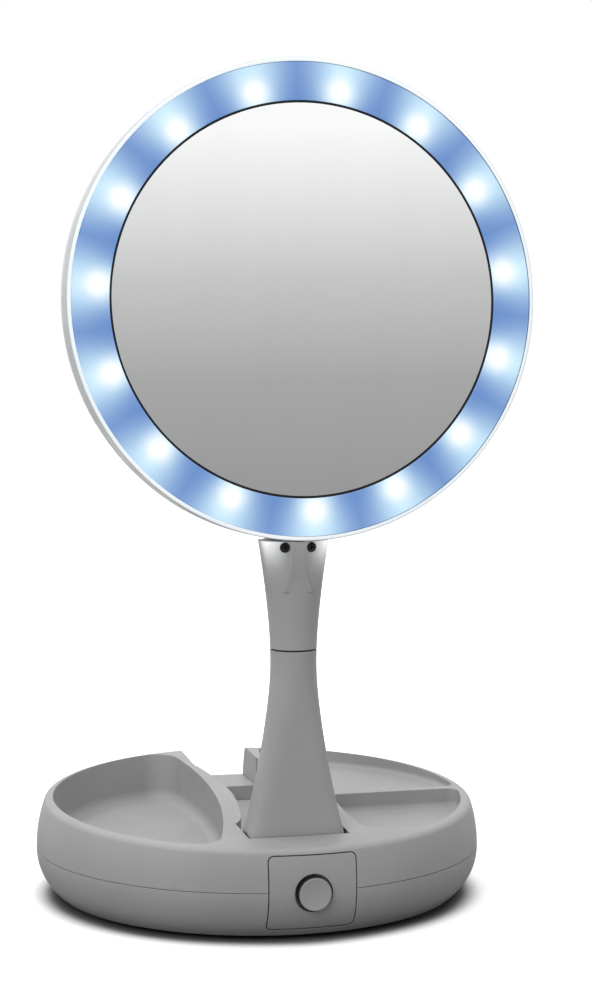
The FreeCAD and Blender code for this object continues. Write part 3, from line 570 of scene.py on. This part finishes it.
@dataclass(frozen=True)
class SilveredGlass:
    """Silvered mirror glass with the faintest wiped marks."""

    name: str
    colour: Colour = (0.955, 0.962, 0.962)

    def material(self) -> bpy.types.Material:
        """Node material of the mirror."""
        graph = NodeGraph(self.name)
        stretch = graph.add("ShaderNodeMapping")
        stretch.inputs["Scale"].default_value = (1.0, 1.0, 0.15)
        stretch.inputs["Rotation"].default_value = (0.0, 0.6, 0.0)
        graph.feed(stretch.inputs["Vector"], graph.place())
        wipe = graph.add("ShaderNodeTexNoise")
        graph.feed(wipe.inputs["Vector"], stretch.outputs[0])
        wipe.inputs["Scale"].default_value = 90.0
        wipe.inputs["Detail"].default_value = 5.0
        dust = graph.spread(graph.cells(0.0021), (0.02, 0.05), (0.5, 0.0))
        film = tuple(channel * 0.985 for channel in self.colour)
        body = graph.mix(graph.spread(wipe.outputs[0], (0.45, 0.7), (0.0, 1.0)), self.colour, film)
        rough = graph.spread(wipe.outputs[0], (0.4, 0.7), (0.004, 0.018))
        rough = graph.math("ADD", rough, graph.math("MULTIPLY", dust, 0.01))
        return graph.surface(Base_Color=body, Roughness=rough, Metallic=1.0)


class Finishes:
    """All finishes of the mirror, made once and shared."""

    def __init__(self) -> None:
        """Make every material."""
        self.shell = MouldedPlastic("grey_satin_shell", grey(0.365), Grain.SPARK, 0.47).material()
        self.panel = MouldedPlastic("grey_panel", grey(0.352), Grain.SATIN, 0.42, 0.25 * MM).material()
        # Button: faces that don't face forward, its side walls, are darkened nearly to black
        self.button = MouldedPlastic(
            "grey_button", grey(0.362), Grain.SATIN, 0.36, 0.2 * MM, sleeve=0.95
        ).material()
        # Upper arm: grey plastic with painted light from the ring near the head
        self.arm_painted_spill = MouldedPlastic(
            "grey_arm_painted_spill", grey(0.385), Grain.SPARK, 0.47, spill=(126.0 * MM, 145.0 * MM)
        ).material()
        self.white = MouldedPlastic(
            "white_head_shell", (0.70, 0.72, 0.72), Grain.POLISHED, 0.34, 0.3 * MM
        ).material()
        # Bezel: the head shell's white plastic set darker as painted shade, with a painted glow on faces
        # turned forward
        self.painted_shade_and_glow_bezel = MouldedPlastic(
            "white_bezel_painted_shade_and_glow", (0.47, 0.51, 0.525), Grain.POLISHED, 0.32, 0.3 * MM, glow=0.03
        ).material()
        self.rubber = SoftRubber("black_rubber", grey(0.018)).material()
        self.gasket = SoftRubber("dark_gasket", (0.003, 0.003, 0.005), 0.8, 0.03).material()
        self.washer = SoftRubber("dark_neck_washer", grey(0.010), 0.6).material()
        self.switch = MouldedPlastic("black_switch", grey(0.02), Grain.SATIN, 0.4, 0.15 * MM).material()
        self.nylon = MouldedPlastic(
            "white_nylon", (0.78, 0.77, 0.73), Grain.POLISHED, 0.38, 0.15 * MM
        ).material()
        self.pin = DrawnSteel("bright_pin_steel", (0.66, 0.65, 0.63), 0.26, 0).material()
        self.stem = DrawnSteel("bright_stem_steel", (0.64, 0.63, 0.61), 0.28, 2).material()
        self.spring = DrawnSteel("nickel_contact", (0.70, 0.68, 0.63), 0.24, 1).material()
        self.screw = DrawnSteel("black_oxide_screw", grey(0.022), 0.42, 2, 0.55).material()
        self.green = BoardLaminate(
            "green_board", (0.015, 0.115, 0.050), (0.045, 0.22, 0.10)
        ).material()
        self.pale = BoardLaminate("white_lamp_board", grey(0.78), (0.70, 0.62, 0.42)).material()
        self.lamp = LampChip("white_lamp").material()
        self.mirror = SilveredGlass("silvered_glass").material()


def dress(node: str, material: bpy.types.Material) -> bpy.types.Object:
    """Give a solid of the frame its finish.

    Args:
        node: Name of the solid.
        material: Its finish.

    Returns:
        The solid's object.
    """
    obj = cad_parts[node]
    for slot in obj.material_slots:
        slot.material = material
    LOG.info("dressed %s with %s", node, material.name)
    return obj


def new_piece(
    name: str, mesh: bpy.types.Mesh, material: bpy.types.Material, body: str
) -> bpy.types.Object:
    """Make an object of a finished mesh and let it ride on a body.

    Args:
        name: Name of the piece.
        mesh: Its mesh, in the frame of the mirror.
        material: Its finish.
        body: Body that carries it.

    Returns:
        The new object.
    """
    mesh.materials.append(material)
    mesh.shade_smooth()
    mesh.set_sharp_from_angle(angle=SHARP_ANGLE)
    obj = bpy.data.objects.new(name, mesh)
    bpy.context.scene.collection.objects.link(obj)
    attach(obj, body)
    LOG.info("built %s on %s", name, body)
    return obj


def lathe(profile: Sequence[Tuple[float, float]], segments: int) -> bpy.types.Mesh:
    """Closed solid of revolution about +Z.

    Args:
        profile: Points (radius, height) from the top of the axis to its bottom.
        segments: Facets round the axis.

    Returns:
        The mesh.
    """
    bm = bmesh.new()
    rings: List[List[bmesh.types.BMVert]] = []
    for radius, height in profile:
        if radius < AXIS_RADIUS:
            rings.append([bm.verts.new((0.0, 0.0, height))])
            continue
        turn = [math.tau * index / segments for index in range(segments)]
        ring = [(radius * math.cos(angle), radius * math.sin(angle), height) for angle in turn]
        rings.append([bm.verts.new(point) for point in ring])
    for upper, lower in zip(rings, rings[1:]):
        for index in range(segments):
            ahead = (index + 1) % segments
            if len(upper) == 1:
                bm.faces.new((upper[0], lower[index], lower[ahead]))
            elif len(lower) == 1:
                bm.faces.new((upper[ahead], upper[index], lower[0]))
            else:
                bm.faces.new((upper[ahead], upper[index], lower[index], lower[ahead]))
    mesh = bpy.data.meshes.new("turned")
    bm.to_mesh(mesh)
    bm.free()
    return mesh


def carved(mesh: bpy.types.Mesh, cutter: bpy.types.Mesh) -> bpy.types.Mesh:
    """Mesh with another mesh taken away.

    Args:
        mesh: Closed mesh.
        cutter: Closed mesh that is taken away.

    Returns:
        The new mesh.
    """
    scene = bpy.context.scene
    body = bpy.data.objects.new("carved_body", mesh)
    tool = bpy.data.objects.new("carving_tool", cutter)
    for obj in (body, tool):
        scene.collection.objects.link(obj)
    modifier = body.modifiers.new("carve", "BOOLEAN")
    modifier.operation = "DIFFERENCE"
    modifier.solver = "EXACT"
    modifier.object = tool
    graph = bpy.context.evaluated_depsgraph_get()
    result = bpy.data.meshes.new_from_object(body.evaluated_get(graph))
    for obj in (body, tool):
        bpy.data.objects.remove(obj)
    return result


def gathered(meshes: Sequence[bpy.types.Mesh], places: Sequence[Matrix]) -> bpy.types.Mesh:
    """One mesh from copies of meshes at places.

    Args:
        meshes: Meshes, one for each place.
        places: Where each copy stands.

    Returns:
        The joined mesh.
    """
    bm = bmesh.new()
    for mesh, place in zip(meshes, places):
        copy = mesh.copy()
        copy.transform(place)
        bm.from_mesh(copy)
        bpy.data.meshes.remove(copy)
    joined = bpy.data.meshes.new("gathered")
    bm.to_mesh(joined)
    bm.free()
    return joined


def facing(point: Point, direction: Point) -> Matrix:
    """Place at a point with +Z turned to a direction."""
    turn = Vector(direction).to_track_quat("Z", "Y").to_matrix().to_4x4()
    return Matrix.Translation(Vector(point)) @ turn


@dataclass(frozen=True)
class CrossScrew:
    """Screw with a cross recess in a low domed head and a rolled thread, head outwards along +Z."""

    head_radius: float
    head_height: float
    shank_radius: float
    length: float
    dome: float = 0.25 * MM
    pitch: float = 1.0 * MM
    segments: int = 40
    dome_steps: int = 6

    def turned(self) -> bpy.types.Mesh:
        """Head and thread turned about the axis."""
        wide = self.head_radius
        profile = [(0.0, 0.0)]
        for index in range(1, self.dome_steps + 1):
            share = index / self.dome_steps
            profile.append((wide * share * 0.97, -self.dome * share ** 2))
        profile.append((wide, -self.dome - wide * 0.06))
        profile.append((wide, -self.head_height))
        profile.append((self.shank_radius * 0.86, -self.head_height))
        depth = self.head_height + self.pitch / 2
        while depth < self.length - self.pitch:
            profile.append((self.shank_radius * 0.98, -depth))
            profile.append((self.shank_radius * 0.80, -depth - self.pitch / 2))
            depth += self.pitch
        profile.append((self.shank_radius * 0.5, -self.length * 0.985))
        profile.append((0.0, -self.length * 0.985))
        return lathe(profile, self.segments)

    def recess(self) -> bpy.types.Mesh:
        """Cross that is cut into the head."""
        bm = bmesh.new()
        arm = self.head_radius * 0.62
        thin = self.head_radius * 0.15
        for wide, deep in ((arm, thin), (thin, arm)):
            made = bmesh.ops.create_cube(bm, size=1.0)
            for vert in made["verts"]:
                taper = 0.62 if vert.co.z < 0.0 else 1.0
                vert.co.x *= 2.0 * wide * taper
                vert.co.y *= 2.0 * deep * taper
                vert.co.z = self.head_height if vert.co.z > 0.0 else -self.head_height * 0.75
        mesh = bpy.data.meshes.new("cross")
        bm.to_mesh(mesh)
        bm.free()
        return mesh

    def mesh(self) -> bpy.types.Mesh:
        """Finished screw."""
        body = self.turned()
        bm = bmesh.new()
        bm.from_mesh(self.recess())
        corners = list(bm.verts)
        halves = corners[:8], corners[8:]
        parts = []
        for keep in range(2):
            copy = bm.copy()
            copy.verts.ensure_lookup_table()
            drop = [copy.verts[corner.index] for corner in halves[1 - keep]]
            bmesh.ops.delete(copy, geom=drop, context="VERTS")
            part = bpy.data.meshes.new("slot")
            copy.to_mesh(part)
            copy.free()
            parts.append(part)
        bm.free()
        for part in parts:
            body = carved(body, part)
        return body


@dataclass
class TrayBase:
    """Round base: two shells with trays, control panel, button, feet, screws and the power bay."""

    finishes: Finishes
    foot_radius: float = 6.0 * MM
    foot_groove: float = 0.45 * MM
    foot_round: float = 0.5 * MM
    foot_segments: int = 56
    screw: CrossScrew = CrossScrew(2.9 * MM, 1.6 * MM, 1.4 * MM, 12.0 * MM)
    screw_place: Tuple[float, float] = (56.0 * MM, 26.0 * MM)
    foot_place: Tuple[float, float] = (40.0 * MM, 57.0 * MM)

    @staticmethod
    def mirrored(place: Tuple[float, float]) -> List[Tuple[float, float]]:
        """The four places that mirror one place across both middle lines."""
        x, y = place
        return [(x, y), (-x, y), (x, -y), (-x, -y)]

    def build(self) -> None:
        """Model the feet and the shell screws."""
        self.build_feet()
        self.build_screws()

    def build_feet(self) -> None:
        """Soft feet with a rounded edge and a ring groove, in place of the plain ones."""
        low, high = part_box("rubber_feet")
        wide, groove, edge = self.foot_radius, self.foot_groove, self.foot_round
        tall = high.z - low.z
        profile = [(0.0, tall), (wide, tall), (wide, edge)]
        for index in range(1, 6):
            angle = math.pi / 2 * index / 5
            profile.append((wide - edge * (1 - math.cos(angle)), edge * (1 - math.sin(angle))))
        profile += [(wide * 0.72, 0.0), (wide * 0.66, groove), (wide * 0.56, groove)]
        profile += [(wide * 0.5, 0.0), (0.0, 0.0)]
        foot = lathe(profile, self.foot_segments)
        places = [Matrix.Translation((x, y, low.z)) for x, y in self.mirrored(self.foot_place)]
        mesh = gathered([foot] * len(places), places)
        piece = new_piece("foot_pads", mesh, self.finishes.rubber, "base")
        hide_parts("rubber_feet")

    def build_screws(self) -> None:
        """Shell screws seen from below, with cross recesses."""
        low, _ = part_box("base_screws")
        screw = self.screw.mesh()
        down = (0.0, 0.0, -1.0)
        places = [facing((x, y, low.z), down) for x, y in self.mirrored(self.screw_place)]
        mesh = gathered([screw] * len(places), places)
        piece = new_piece("shell_screws", mesh, self.finishes.screw, "base")
        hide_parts("base_screws")

    def dress(self) -> None:
        """Finish the solids of the base."""
        finishes = self.finishes
        low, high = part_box("battery_cells")
        middle, half = (low.y + high.y) / 2, (high.y - low.y) / 2
        sleeve = CellSleeve("cell_sleeve", (0.05, 0.16, 0.11), (0.42, 0.43, 0.42), middle, half)
        plan = {
            "base_upper_shell": finishes.shell,
            "base_lower_shell": finishes.shell,
            "battery_cover": finishes.shell,
            "battery_cells": sleeve.material(),
            "battery_contacts": finishes.spring,
            "circuit_board": finishes.green,
            "control_panel": finishes.panel,
            "power_button": finishes.button,
            "push_switch": finishes.switch,
        }
        for node, material in plan.items():
            dress(node, material)


@dataclass
class FoldingArm:
    """Flared arm in two lengths, with its pivot, turning neck and the two dark screws."""

    finishes: Finishes
    screw: CrossScrew = CrossScrew(1.9 * MM, 1.7 * MM, 0.9 * MM, 12.0 * MM, 0.3 * MM, 0.7 * MM)
    screw_place: float = 5.0 * MM

    def build(self) -> None:
        """Model the two screws in the front of the upper arm."""
        low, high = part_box("arm_screws")
        screw = self.screw.mesh()
        height = (low.z + high.z) / 2
        sides = (-self.screw_place, self.screw_place)
        places = [facing((x, low.y, height), (0.0, -1.0, 0.0)) for x in sides]
        mesh = gathered([screw] * len(places), places)
        piece = new_piece("arm_front_screws", mesh, self.finishes.screw, "upper_arm")
        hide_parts("arm_screws")

    def dress(self) -> None:
        """Finish the solids of the arm."""
        finishes = self.finishes
        plan = {
            "lower_arm": finishes.shell,
            "upper_arm_front": finishes.arm_painted_spill,
            "upper_arm_back": finishes.arm_painted_spill,
            "arm_pivot_pin": finishes.pin,
            "friction_washers": finishes.switch,
            "neck_bush": finishes.nylon,
            "neck_washer": finishes.washer,
            "swivel_stem": finishes.stem,
            "hinge_pin": finishes.pin,
        }
        for node, material in plan.items():
            dress(node, material)


@dataclass
class MirrorHead:
    """Round head: white housing, lit ring over its lamps, and the mirror in its dark ring."""

    finishes: Finishes
    lamp_radius: float = 76.6 * MM
    lamp_count: int = 15
    first_lamp: float = math.radians(8.0)
    screw: CrossScrew = CrossScrew(2.6 * MM, 1.2 * MM, 1.2 * MM, 7.0 * MM, 0.2 * MM, 0.8 * MM)
    screw_count: int = 5
    screw_place: float = 62.0 * MM
    back: float = -62.5 * MM
    level_centre: float = 232.4 * MM
    hinge: Point = (0.0, -54.5 * MM, 160.2 * MM)
    lean: float = math.radians(2.0)

    def leaned(self) -> Matrix:
        """Turn about the hinge that brings an upright head to its lean."""
        hinge = Matrix.Translation(self.hinge)
        return hinge @ Matrix.Rotation(-self.lean, 4, "X") @ hinge.inverted()

    def centre_height(self) -> float:
        """Height of the axis of the head."""
        low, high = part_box("mirror_glass")
        return (low.z + high.z) / 2

    def build(self) -> None:
        """Model the screws in the back of the head."""
        screw = self.screw.mesh()
        places = []
        for index in range(self.screw_count):
            angle = math.pi / 2 + math.tau * index / self.screw_count
            x = self.screw_place * math.cos(angle)
            z = self.level_centre + self.screw_place * math.sin(angle)
            places.append(self.leaned() @ facing((x, self.back, z), (0.0, 1.0, 0.0)))
        mesh = gathered([screw] * len(places), places)
        piece = new_piece("head_back_screws", mesh, self.finishes.screw, "head")
        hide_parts("head_screws")

    def dress(self) -> None:
        """Finish the solids of the head."""
        finishes = self.finishes
        ring = LitRing(
            "lit_ring", self.centre_height(), self.lamp_radius, self.lamp_count, self.first_lamp
        )
        plan = {
            "head_back": finishes.white,
            "head_bezel": finishes.painted_shade_and_glow_bezel,
            "diffuser_ring": ring.material(),
            "lamp_board": finishes.pale,
            "lamps": finishes.lamp,
            "mirror_glass": finishes.mirror,
            "mirror_gasket": finishes.gasket,
        }
        for node, material in plan.items():
            dress(node, material)


@dataclass
class Studio:
    """Pale floor, soft lamps, white surround, a graded card in front of the mirror, and the camera."""

    camera_place: Point = (-0.20966, -0.86396, 0.2214)
    camera_pitch: float = math.radians(4.24)
    camera_turn: float = math.radians(-14.64)
    lens: float = 81.24
    surround: float = 0.52
    floor_size: float = 9.0
    card_radius: float = 1.25
    card_low: float = 0.02
    card_high: float = 1.1
    card_half_turn: float = 85.0
    card_columns: int = 48
    card_fade: Tuple[float, float] = (0.150, 0.508)
    card_stops: Tuple[Tuple[float, float], ...] = (
        (0.0, 0.325), (0.30, 0.40), (0.55, 0.58), (0.80, 0.86), (0.93, 1.0)
    )
    lamps: Tuple[Tuple[str, Point, float, float], ...] = (
        ("key_lamp", (-0.95, -1.15, 1.05), 0.9, 12.5),
        ("top_lamp", (-0.2, 0.1, 1.7), 1.1, 16.0),
        ("side_lamp", (1.3, -0.6, 0.8), 0.8, 1.6),
    )
    lamp_aim: Point = (0.0, 0.0, 0.12)
    shadow_reach: float = 30.0 * MM

    def seen(self, tree: bpy.types.NodeTree) -> bpy.types.NodeSocket:
        """Mask of the rays that the eye follows.

        Args:
            tree: Tree that it is added to.

        Returns:
            Socket that is 1 for camera, glossy and transmission rays.
        """
        path = tree.nodes.new("ShaderNodeLightPath")
        first = tree.nodes.new("ShaderNodeMath")
        first.operation = "MAXIMUM"
        tree.links.new(path.outputs["Is Camera Ray"], first.inputs[0])
        tree.links.new(path.outputs["Is Glossy Ray"], first.inputs[1])
        second = tree.nodes.new("ShaderNodeMath")
        second.operation = "MAXIMUM"
        tree.links.new(first.outputs[0], second.inputs[0])
        tree.links.new(path.outputs["Is Transmission Ray"], second.inputs[1])
        return second.outputs[0]

    def build_world(self) -> None:
        """White surround for the eye, and its plainer light for the object."""
        world = bpy.data.worlds.new("white_surround")
        bpy.context.scene.world = world
        world.use_nodes = True
        tree = world.node_tree
        ground = tree.nodes["Background"]
        ground.inputs["Color"].default_value = (1.0, 1.0, 1.0, 1.0)
        strength = tree.nodes.new("ShaderNodeMapRange")
        tree.links.new(self.seen(tree), strength.inputs[0])
        strength.inputs[3].default_value = self.surround
        strength.inputs[4].default_value = 1.0
        tree.links.new(strength.outputs[0], ground.inputs["Strength"])

    def build_floor(self) -> None:
        """White floor that keeps the shadow of the object, with painted shadow added close to it."""
        graph = NodeGraph("pale_floor")
        seen = self.seen(graph.tree)
        cloud = graph.noise(0.4, 3.0)
        free = graph.openness(self.shadow_reach, 16)
        light = graph.mix(cloud, grey(0.40), grey(0.42))
        # Painted shadow: the seen floor colour darkens nearly to black where the object closes over it
        light = graph.mix(graph.spread(free, (0.24, 0.52), (0.8, 0.0)), light, grey(0.01))
        colour = graph.mix(seen, grey(0.22), light)
        diffuse = graph.add("ShaderNodeBsdfDiffuse")
        graph.feed(diffuse.inputs["Color"], colour)
        lift = graph.add("ShaderNodeEmission")
        x, y, _ = graph.parts(graph.place())
        away = graph.distance(x, y)
        # Painted shadow: the floor's lift falls away where the object closes over it
        near = graph.spread(free, (0.37, 0.62), (0.0, 0.74))
        far = graph.spread(away, (0.10, 0.45), (0.0, 0.6))
        eye = graph.add("ShaderNodeLightPath").outputs["Is Camera Ray"]
        shares = graph.math("MULTIPLY", eye, near), graph.math("MULTIPLY", seen, far)
        graph.feed(lift.inputs["Strength"], graph.math("ADD", *shares))
        both = graph.add("ShaderNodeAddShader")
        graph.feed(both.inputs[0], diffuse.outputs[0])
        graph.feed(both.inputs[1], lift.outputs[0])
        graph.tree.links.new(both.outputs[0], graph.output.inputs[0])
        bm = bmesh.new()
        bmesh.ops.create_grid(bm, x_segments=8, y_segments=8, size=self.floor_size / 2)
        mesh = bpy.data.meshes.new("floor")
        bm.to_mesh(mesh)
        bm.free()
        mesh.materials.append(graph.material)
        floor = bpy.data.objects.new("floor", mesh)
        bpy.context.scene.collection.objects.link(floor)

    def build_card(self) -> None:
        """Curved card that only reflections see, white above and grey below."""
        graph = NodeGraph("graded_card")
        height = graph.parts(graph.place())[2]
        ramp = graph.add("ShaderNodeValToRGB")
        graph.feed(ramp.inputs[0], graph.spread(height, self.card_fade, FULL))
        ends = self.card_stops[0], self.card_stops[-1]
        for element, (position, level) in zip(ramp.color_ramp.elements, ends):
            element.position = position
            element.color = (*grey(level), 1.0)
        for position, level in self.card_stops[1:-1]:
            ramp.color_ramp.elements.new(position).color = (*grey(level), 1.0)
        light = graph.add("ShaderNodeEmission")
        graph.feed(light.inputs["Color"], ramp.outputs[0])
        graph.tree.links.new(light.outputs[0], graph.output.inputs[0])
        bm = bmesh.new()
        rows = []
        for index in range(self.card_columns + 1):
            turn = self.card_half_turn * (2.0 * index / self.card_columns - 1.0)
            angle = math.radians(turn - 90.0)
            x, y = self.card_radius * math.cos(angle), self.card_radius * math.sin(angle)
            rows.append([bm.verts.new((x, y, z)) for z in (self.card_low, self.card_high)])
        for first, last in zip(rows, rows[1:]):
            bm.faces.new((first[0], last[0], last[1], first[1]))
        mesh = bpy.data.meshes.new("graded_card")
        bm.to_mesh(mesh)
        bm.free()
        mesh.materials.append(graph.material)
        card = bpy.data.objects.new("graded_card", mesh)
        bpy.context.scene.collection.objects.link(card)
        for rays in ("camera", "diffuse", "transmission", "shadow", "volume_scatter"):
            setattr(card, f"visible_{rays}", False)

    def build_lamp(self, name: str, place: Point, size: float, power: float) -> None:
        """Soft square lamp aimed at the middle of the object.

        Args:
            name: Name of the lamp.
            place: Where it stands.
            size: Side of its face in metres.
            power: Its power in watts.
        """
        data = bpy.data.lights.new(name, "AREA")
        data.energy = power
        data.size = size
        lamp = bpy.data.objects.new(name, data)
        bpy.context.scene.collection.objects.link(lamp)
        lamp.location = place
        aim = Vector(self.lamp_aim) - Vector(place)
        lamp.rotation_euler = aim.to_track_quat("-Z", "Y").to_euler()
        lamp.visible_glossy = False

    def build_camera(self) -> None:
        """Camera at the place and angle of the photograph."""
        data = bpy.data.cameras.new("camera")
        data.lens = self.lens
        data.sensor_width = 36.0
        data.clip_start = 0.01
        data.clip_end = 50.0
        camera = bpy.data.objects.new("camera", data)
        bpy.context.scene.collection.objects.link(camera)
        camera.location = self.camera_place
        camera.rotation_euler = (math.pi / 2 - self.camera_pitch, 0.0, self.camera_turn)
        bpy.context.scene.camera = camera

    def build(self) -> None:
        """Set up the whole studio."""
        self.build_world()
        self.build_floor()
        self.build_card()
        for lamp in self.lamps:
            self.build_lamp(*lamp)
        self.build_camera()
        bpy.context.scene.view_settings.view_transform = "Standard"
        LOG.info("studio ready")


def main() -> None:
    """Build and dress each sub-assembly in order, then the studio."""
    logging.basicConfig(level=logging.INFO, format="%(name)s: %(message)s")
    finishes = Finishes()
    for assembly in (TrayBase(finishes), FoldingArm(finishes), MirrorHead(finishes)):
        LOG.info("sub-assembly %s", type(assembly).__name__)
        assembly.build()
        assembly.dress()
    Studio().build()


if __name__ == "__main__":
    main()
